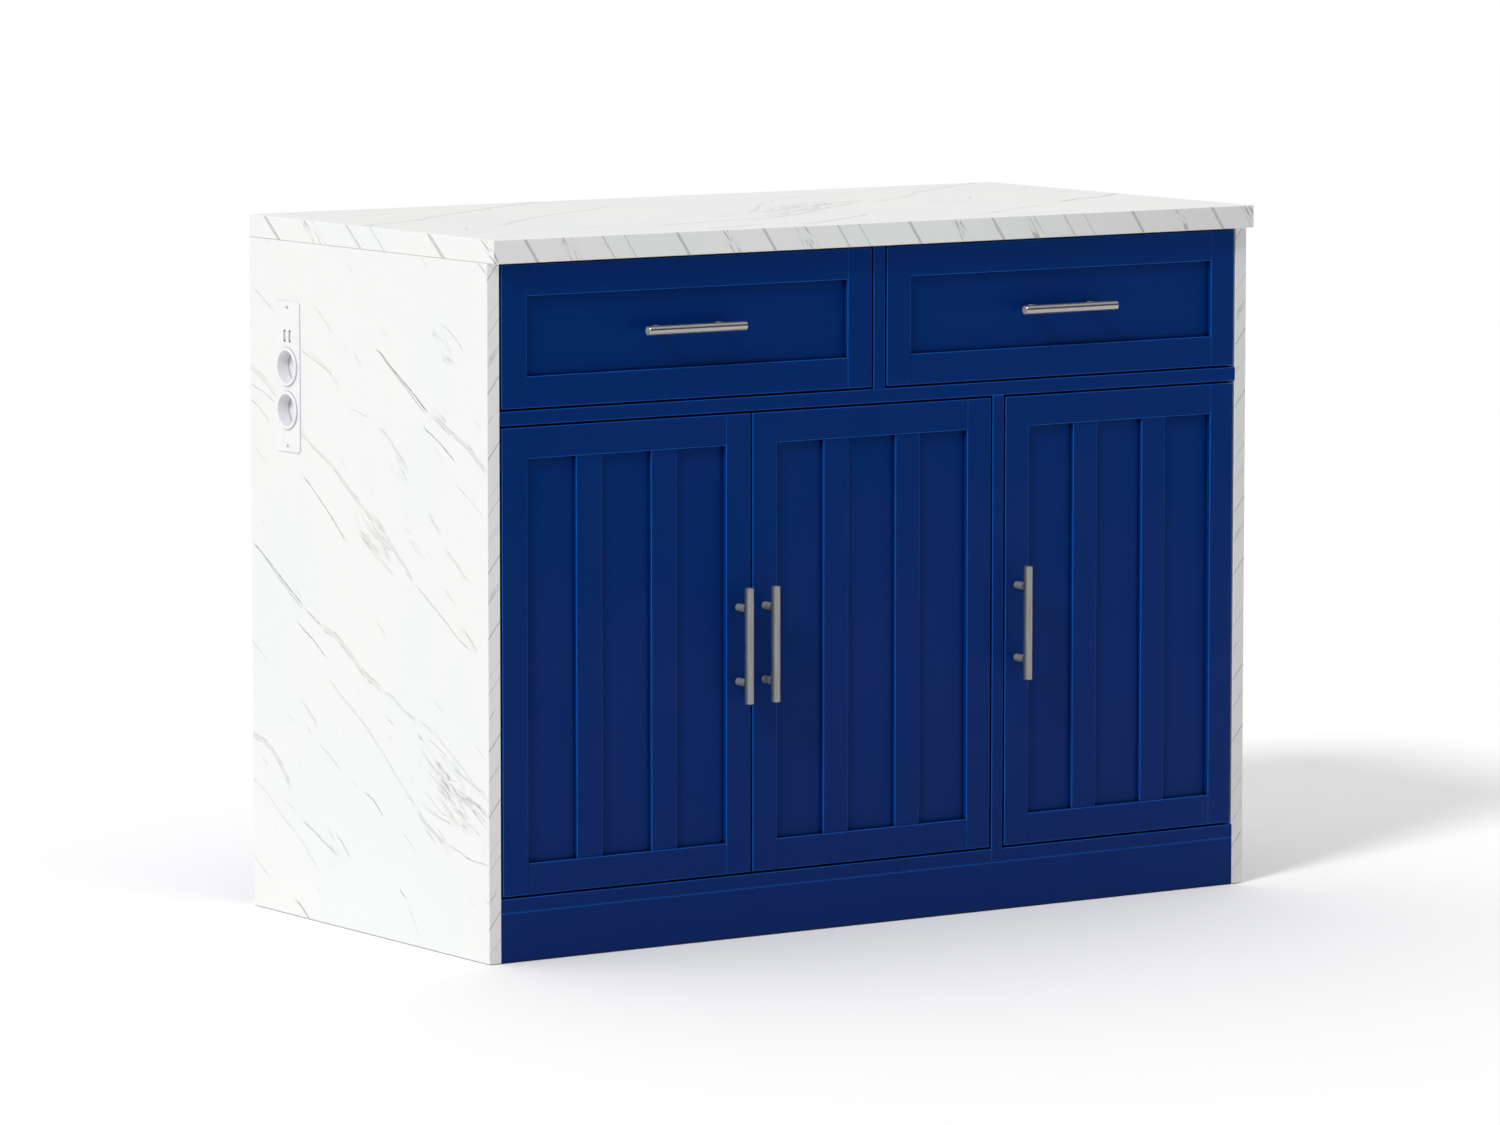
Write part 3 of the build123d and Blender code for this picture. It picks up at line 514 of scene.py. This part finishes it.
def worktop_figure(tree, x, y, z):
    broad = broad_figure(tree, tree.math("MULTIPLY", x, -1.0), y, TOP_STROKES, TOP_PATCHES)
    drop = tree.math("SUBTRACT", TOP_HIGH.z, z)
    along_front = tree.math("SUBTRACT", x, TOP_LOW.x + WORKTOP_FRONT_START)
    front = edge_band(tree, along_front, drop, *WORKTOP_FRONT_BAND)
    along_side = tree.math("SUBTRACT", TOP_HIGH.y - WORKTOP_SIDE_START, y)
    side = edge_band(tree, along_side, drop, *WORKTOP_SIDE_BAND)
    figure = tree.math("MULTIPLY", broad, tree.facing((0, 0, 1)))
    figure = tree.math("ADD", figure, tree.math("MULTIPLY", front, tree.facing((0, 1, 0))))
    figure = tree.math("ADD", figure, tree.math("MULTIPLY", side, tree.facing((1, 0, 0))))
    # painted shadow line along the foot of the worktop's side faces, drawn in the vein tone
    seam_shade = tree.ramp(z, TOP_LOW.z + SEAM, TOP_LOW.z + SEAM * 0.4, 0.0, 0.55)
    return tree.math("MAXIMUM", figure, tree.math("MULTIPLY", seam_shade, tree.facing((1, 0, 0))))


def panel_figure(low, band_start, way):
    """The figure maker for a side panel; way is -1 on the left panel and 1 on the right one."""
    def figure(tree, x, y, z):
        broad = broad_figure(tree, tree.math("MULTIPLY", y, way), z, PANEL_STROKES, PANEL_PATCHES)
        left = tree.math("SUBTRACT", x, low.x)
        edge = edge_band(tree, tree.math("SUBTRACT", z, band_start), left, *PANEL_BAND)
        shown = tree.ramp(tree.vector_math("DOT_PRODUCT", tree.normal, (way, 0, 0)), 0.7, 0.8)
        figure = tree.math("MULTIPLY", broad, shown)
        return tree.math("ADD", figure, tree.math("MULTIPLY", edge, tree.facing((0, 1, 0))))
    return figure


# ---------------------------------------------------------------- painted boards, metals and plastics
NAVY = rgb(0, 38, 103)
# painted light: the tone that the lower parts of the fronts take under the light
NAVY_LOWER_LIT = rgb(15, 38, 100)
# painted highlight: lighter blue on the rounded edges, where they would catch the light
NAVY_EDGE_HIGHLIGHT = rgb(16, 84, 172)
NAVY_LIT_SIDE = rgb(0, 48, 120)         # painted light: lighter blue on faces that look to the left, towards the main light
NAVY_CREVICE_SHADE = rgb(0, 0, 12)        # painted shade in the gaps between fronts, and in the grooves
CREVICE_SHADE_REACH = 0.007               # distance within which facing surface paints shade onto the lacquer
NAVY_SHEEN = (0.06, 0.36, 1.0, 1.0)
NAVY_FROM, NAVY_TO = 0.75, 0.15     # heights between which the blue turns slightly to violet: painted light, standing in for how the light falls from the top of the fronts to the bottom


def navy_lacquer():
    """Satin lacquer on board: soft mottling and orange peel, with painted highlights on the rounded edges,
    painted light on left-facing faces and down the fronts, and painted shade in the gaps and grooves.
    """
    tree = new_tree("navy_lacquer")
    mottle = tree.noise(tree.place, 7.0, detail=4.0)
    height = tree.parts(tree.place)[2]
    lean = tree.math("ADD", height, tree.ramp(mottle, 0.3, 0.7, -0.12, 0.12))
    # painted light: the blue shifts with height, standing in for how the light falls down the fronts
    face = tree.mix(tree.ramp(lean, NAVY_FROM, NAVY_TO), NAVY, NAVY_LOWER_LIT)
    # painted light on the faces that look to the left
    face = tree.mix(tree.ramp(tree.parts(tree.normal)[0], -0.7, -0.9), face, NAVY_LIT_SIDE)
    # painted highlight on the rounded edges, broken up by noise
    highlight_break = tree.noise(tree.place, 30.0, detail=3.0)
    edge_highlight = tree.math("MULTIPLY", tree.arris(), tree.ramp(highlight_break, 0.2, 0.6, 0.7, 1.0))
    face = tree.mix(edge_highlight, face, NAVY_EDGE_HIGHLIGHT)
    # painted shade: the lacquer turns near black where other surface closes it in, in gaps and grooves
    seam_shade = tree.math("MULTIPLY", tree.ramp(tree.openness(CREVICE_SHADE_REACH, 6), 0.67, 0.47), 0.97)
    peel = tree.noise(tree.place, 420.0, detail=1.5)
    tree.set(Base_Color=tree.mix(seam_shade, face, NAVY_CREVICE_SHADE), Roughness=tree.ramp(mottle, 0.3, 0.7, 0.38, 0.48),
             Specular_IOR_Level=0.2, Specular_Tint=NAVY_SHEEN, Normal=tree.bump(peel, 0.05, 0.0003))
    return tree.material


BRUSH_ACROSS, BRUSH_ALONG = 1400.0, 22.0    # scale of the brushing, per metre


def brushed_metal(name, colour, along, roughness):
    """Metal with fine brushing along one axis: 0, 1 or 2 for X, Y or Z."""
    tree = new_tree(name)
    stretch = [BRUSH_ACROSS] * 3
    stretch[along] = BRUSH_ALONG
    lines = tree.noise(tree.vector_math("MULTIPLY", tree.place, tuple(stretch)), 1.0, detail=2.0)
    smear = tree.noise(tree.place, 18.0, detail=2.0)
    shade = tree.mix(tree.ramp(lines, 0.25, 0.75), colour, dimmed(colour, 0.8))
    rough = tree.math("ADD", tree.ramp(lines, 0.2, 0.8, roughness - 0.06, roughness + 0.06),
                      tree.ramp(smear, 0.3, 0.7, -0.03, 0.03))
    tree.set(Base_Color=shade, Metallic=1.0, Roughness=rough, Normal=tree.bump(lines, 0.08, 0.0001))
    return tree.material


BAR_D = 0.012                       # diameter of a handle's bar, from its front to where its posts begin
BAR_METALLIC, POST_METALLIC = 0.75, 0.25
# painted reflection: the dark streak that a bar would mirror from its surroundings
DARK_REFLECTION = rgb(28, 28, 34)


def bar_steel(name, colour, along, roughness, handle, streak):
    """Brushed steel of a bar handle, with a painted dark reflection streak down the bar and less of a mirror
    on posts and ends.

    streak is the normal's axis, its value at the middle of the streak, the half width and the darkness.
    """
    steel = brushed_metal(name, colour, along, roughness)
    tree = Tree(steel)
    posts_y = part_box(handle)[0].y + BAR_D
    posts = tree.ramp(tree.parts(tree.place)[1], posts_y - 0.0005, posts_y + 0.001)
    ends = tree.ramp(tree.math("ABSOLUTE", tree.parts(tree.normal)[along]), 0.75, 0.95)
    matt = tree.math("MAXIMUM", posts, ends)
    axis, middle, half, dark = streak
    # painted reflection: a dark streak where the bar's normal points the given way
    off = tree.math("ABSOLUTE", tree.math("SUBTRACT", tree.parts(tree.normal)[axis], middle))
    reflection_streak = tree.ramp(off, half, half * 0.3, 0.0, dark)
    reflection_streak = tree.math("MULTIPLY", reflection_streak, tree.math("SUBTRACT", 1.0, matt))
    brushed = tree.shader.inputs["Base Color"].links[0].from_socket
    less = tree.math("MULTIPLY", matt, BAR_METALLIC - POST_METALLIC)
    tree.set(Base_Color=tree.mix(reflection_streak, brushed, DARK_REFLECTION), Metallic=tree.math("SUBTRACT", BAR_METALLIC, less))
    return steel


WELL_REACH = 0.004                  # distance within which facing surface paints shade onto the plastic, as in a socket's wells


def moulded_plastic(name, colour, roughness, specular=0.45):
    """Moulded plastic with a fine spark texture, and painted shade in its wells and creases."""
    tree = new_tree(name)
    spark = tree.noise(tree.place, 1800.0, detail=1.0)
    tint = tree.noise(tree.place, 40.0, detail=2.0)
    shade = tree.mix(tree.ramp(tint, 0.3, 0.7), colour, dimmed(colour, 0.96))
    well = tree.openness(WELL_REACH, 4)
    # painted shade: darker where other surface closes the plastic in, near black in the most closed spots
    crease_shade = tree.math("MULTIPLY", tree.ramp(well, 0.78, 0.38), 0.75)
    shade = tree.mix(crease_shade, shade, dimmed(colour, 0.35))
    shade = tree.mix(tree.ramp(well, 0.54, 0.38), shade, dimmed(colour, 0.03))
    tree.set(Base_Color=shade, Roughness=tree.ramp(spark, 0.3, 0.7, roughness - 0.04, roughness + 0.05),
             Specular_IOR_Level=specular, Normal=tree.bump(spark, 0.05, 0.0001))
    return tree.material


def white_melamine():
    """Matt white board of the drawer boxes, with its faint pressed grain."""
    tree = new_tree("white_melamine")
    grain = tree.noise(tree.vector_math("MULTIPLY", tree.place, (6.0, 6.0, 160.0)), 1.0, detail=3.0)
    tree.set(Base_Color=tree.mix(tree.ramp(grain, 0.35, 0.65), rgb(226, 225, 221), rgb(218, 217, 212)),
             Roughness=tree.ramp(grain, 0.3, 0.7, 0.5, 0.6), Normal=tree.bump(grain, 0.1, 0.0003))
    return tree.material


MATERIALS = {
    "navy_board": navy_lacquer(),
    "white_board": white_melamine(),
    "nickel_steel": brushed_metal("nickel_plate", rgb(196, 192, 184), 2, 0.28),
    "zinc": brushed_metal("zinc_plate", rgb(186, 189, 194), 1, 0.32),
    "white_plastic": moulded_plastic("white_plastic", rgb(230, 231, 233), 0.35),
    "grey_plastic": moulded_plastic("grey_plastic", rgb(196, 196, 199), 0.5),
    "dark_plastic": moulded_plastic("dark_plastic", rgb(40, 41, 44), 0.5),
    "nylon": moulded_plastic("nylon", rgb(222, 221, 216), 0.5),
}
# each bar's painted reflection streak is set by streak
STEEL_ALONG_X = bar_steel("brushed_steel_level", rgb(180, 177, 175), 0, 0.16, "drawer_left_handle",
                          streak=(2, 0.31, 0.14, 0.8))
STEEL_ALONG_Z = bar_steel("brushed_steel_upright", rgb(152, 153, 152), 2, 0.24, "door_left_handle",
                          streak=(0, -0.82, 0.10, 0.4))
NODE_MATERIALS = {
    "outlet_screws": moulded_plastic("white_screw", rgb(214, 215, 218), 0.3),
    "worktop": marble("marble_worktop", worktop_figure),
    "side_panel_left": marble("marble_panel_left", panel_figure(LEFT_LOW, PANEL_LEFT_START, -1.0)),
    "side_panel_right": marble("marble_panel_right", panel_figure(RIGHT_LOW, PANEL_RIGHT_START, 1.0)),
}
for entry in frame["record"]["subparts"]:
    node = entry["node"]
    if node.endswith("_handle"):
        chosen = STEEL_ALONG_X if node.startswith("drawer") else STEEL_ALONG_Z
    else:
        chosen = NODE_MATERIALS.get(node) or MATERIALS[entry["material_slot"]]
    mesh = frame["nodes"][node].data
    mesh.materials.clear()
    mesh.materials.append(chosen)

# ---------------------------------------------------------------- screws, too fine for the CAD model
HEAD_SIDES = 16
HEAD_R = 0.0036
HEAD_H = 0.0016
# rings of a pan head from the rim in: radius and height as shares, and whether the cross recess cuts it
HEAD_RINGS = ((1.0, 0.0, False), (1.0, 0.3, False), (0.88, 0.68, False), (0.66, 0.9, False),
              (0.56, 0.96, True), (0.36, 1.0, True), (0.18, 1.0, True))
RECESS = 0.45                       # depth of the cross, as a share of the head's height


def pan_heads(name, body, towards, places):
    """Cross-recessed screw heads that stand on a face, pointing along towards."""
    build = bmesh.new()
    turn = Vector((0, 0, 1)).rotation_difference(Vector(towards)).to_matrix()
    for place in places:
        rings = []
        for radius, height, cut in HEAD_RINGS:
            ring = []
            for side in range(HEAD_SIDES):
                angle = math.tau * side / HEAD_SIDES
                on_cross = cut and side % (HEAD_SIDES // 4) == 0
                lift = height - RECESS if on_cross else height
                out = radius * HEAD_R
                local = Vector((out * math.cos(angle), out * math.sin(angle), lift * HEAD_H))
                ring.append(build.verts.new(Vector(place) + turn @ local))
            rings.append(ring)
        for outer, inner in zip(rings, rings[1:]):
            for side in range(HEAD_SIDES):
                after = (side + 1) % HEAD_SIDES
                build.faces.new((outer[side], outer[after], inner[after], inner[side]))
        centre = build.verts.new(Vector(place) + turn @ Vector((0, 0, (1 - RECESS) * HEAD_H)))
        for side in range(HEAD_SIDES):
            build.faces.new((rings[-1][side], rings[-1][(side + 1) % HEAD_SIDES], centre))
        build.faces.new(reversed(rings[0]))
    mesh = bpy.data.meshes.new(name)
    build.to_mesh(mesh)
    build.free()
    mesh.materials.append(MATERIALS["nickel_steel"])
    piece = bpy.data.objects.new(name, mesh)
    bpy.context.collection.objects.link(piece)
    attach(piece, body)


def even(low, high, count):
    """Evenly spaced places from low to high, both ends included."""
    return [low + (high - low) * step / (count - 1) for step in range(count)]


# two screws through the flange of each hinge cup, and two through each mounting plate on the walls
FLANGE_HALF_H = 0.031
FLANGE_SCREW_UP = 0.0252
PLATE_HALF_H = 0.024
PLATE_SCREW_UP = 0.0165
HINGE_PLATE_T = 0.0025
PLATES_LOW, PLATES_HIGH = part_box("hinge_plates")
PARTITION_LOW, PARTITION_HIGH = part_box("cupboard_partition")
for door in ("door_left", "door_middle", "door_right"):
    low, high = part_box(f"{door}_hinge_cups")
    middle_x = (low.x + high.x) / 2
    levels = (low.z + FLANGE_HALF_H, high.z - FLANGE_HALF_H)
    ups = [z + way * FLANGE_SCREW_UP for z in levels for way in (-1, 1)]
    pan_heads(f"{door}_cup_screws", door, (0, 1, 0), [(middle_x, high.y, z) for z in ups])
plate_y = (PLATES_LOW.y + PLATES_HIGH.y) / 2
plate_levels = (PLATES_LOW.z + PLATE_HALF_H, PLATES_HIGH.z - PLATE_HALF_H)
plate_ups = [z + way * PLATE_SCREW_UP for z in plate_levels for way in (-1, 1)]
WALLS = (("left", LEFT_HIGH.x, 1), ("middle", PARTITION_LOW.x, -1), ("right", RIGHT_LOW.x, -1))
for side_name, wall, way in WALLS:
    places = [(wall + way * HINGE_PLATE_T, plate_y, z) for z in plate_ups]
    pan_heads(f"hinge_plate_screws_{side_name}", "carcass", (way, 0, 0), places)

# screws along the rim of the back panel, and down the partition behind it
BACK_SCREW_IN = 0.010
BACK_SCREWS_ACROSS, BACK_SCREWS_UP = 9, 7
BACK_LOW, BACK_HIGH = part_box("back_panel")
back_x = even(BACK_LOW.x + BACK_SCREW_IN, BACK_HIGH.x - BACK_SCREW_IN, BACK_SCREWS_ACROSS)
back_z = even(BACK_LOW.z + BACK_SCREW_IN, BACK_HIGH.z - BACK_SCREW_IN, BACK_SCREWS_UP)
rim = [(x, BACK_HIGH.y, z) for z in (back_z[0], back_z[-1]) for x in back_x]
rim += [(x, BACK_HIGH.y, z) for x in (back_x[0], back_x[-1]) for z in back_z[1:-1]]
rim += [((PARTITION_LOW.x + PARTITION_HIGH.x) / 2, BACK_HIGH.y, z) for z in back_z[1:-2]]
pan_heads("back_panel_screws", "carcass", (0, 1, 0), rim)

# four screws through the front end of each drawer box into its front
BOX_END_T = 0.012
BOX_SCREW_UP = 0.026
BOX_SCREW_OUT = 0.3                 # from the middle, as a share of the box's width
for drawer in ("drawer_left", "drawer_right"):
    low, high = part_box(f"{drawer}_box_ends")
    middle = (low + high) / 2
    reach = (high.x - low.x) * BOX_SCREW_OUT
    places = [(middle.x + across * reach, low.y + BOX_END_T, middle.z + up * BOX_SCREW_UP)
              for across in (-1, 1) for up in (-1, 1)]
    pan_heads(f"{drawer}_box_screws", drawer, (0, 1, 0), places)

# ---------------------------------------------------------------- floor, light and world
FLOOR_HALF = 90.0
KEY_FROM = (-0.70, -0.305, 0.645)   # the side that the main light comes from
KEY_STRENGTH = 1.55
KEY_SPREAD = 12.0
LAMP_AWAY = 6.0
# brightness of the surround: its slope along each axis, its level, and the least that it falls to
SKY_SLOPE = (-0.14, 0.32, 0.79)
SKY_LEVEL = 0.238
SKY_LEAST = 0.05


def stage_floor():
    mesh = bpy.data.meshes.new("floor")
    corners = [(x, y, 0.0) for x, y in ((-1, -1), (1, -1), (1, 1), (-1, 1))]
    mesh.from_pydata([(x * FLOOR_HALF, y * FLOOR_HALF, z) for x, y, z in corners], [], [(0, 1, 2, 3)])
    floor = bpy.data.objects.new("floor", mesh)
    bpy.context.collection.objects.link(floor)
    tree = new_tree("floor_white")
    speck = tree.noise(tree.place, 3.0, detail=2.0)
    tree.set(Base_Color=tree.mix(speck, rgb(249, 249, 249), rgb(250, 250, 250)), Roughness=0.9,
             Specular_IOR_Level=0.1)
    mesh.materials.append(tree.material)


def sunlight(name, side, strength, spread):
    """Parallel light from the side given; spread is the angle, in degrees, that softens its shadows."""
    light = bpy.data.lights.new(name, "SUN")
    light.energy = strength
    light.angle = math.radians(spread)
    lamp = bpy.data.objects.new(name, light)
    lamp.rotation_euler = (-Vector(side)).to_track_quat("-Z", "Y").to_euler()
    lamp.location = Vector(side) * LAMP_AWAY
    bpy.context.collection.objects.link(lamp)


def studio_sky():
    """Soft white surround, brighter overhead and behind than in front."""
    world = bpy.data.worlds.new("studio")
    world.use_nodes = True
    nodes, links = world.node_tree.nodes, world.node_tree.links
    way = nodes.new("ShaderNodeTexCoord")
    reach = nodes.new("ShaderNodeVectorMath")
    reach.operation = "DOT_PRODUCT"
    reach.inputs[1].default_value = SKY_SLOPE
    lift = nodes.new("ShaderNodeMath")
    lift.operation = "ADD"
    lift.inputs[1].default_value = SKY_LEVEL
    floor_level = nodes.new("ShaderNodeMath")
    floor_level.operation = "MAXIMUM"
    floor_level.inputs[1].default_value = SKY_LEAST
    links.new(way.outputs["Generated"], reach.inputs[0])
    links.new(reach.outputs["Value"], lift.inputs[0])
    links.new(lift.outputs[0], floor_level.inputs[0])
    links.new(floor_level.outputs[0], nodes["Background"].inputs["Strength"])
    nodes["Background"].inputs["Color"].default_value = (1.0, 1.0, 1.0, 1.0)
    bpy.context.scene.world = world


stage_floor()
studio_sky()
sunlight("key", KEY_FROM, KEY_STRENGTH, KEY_SPREAD)
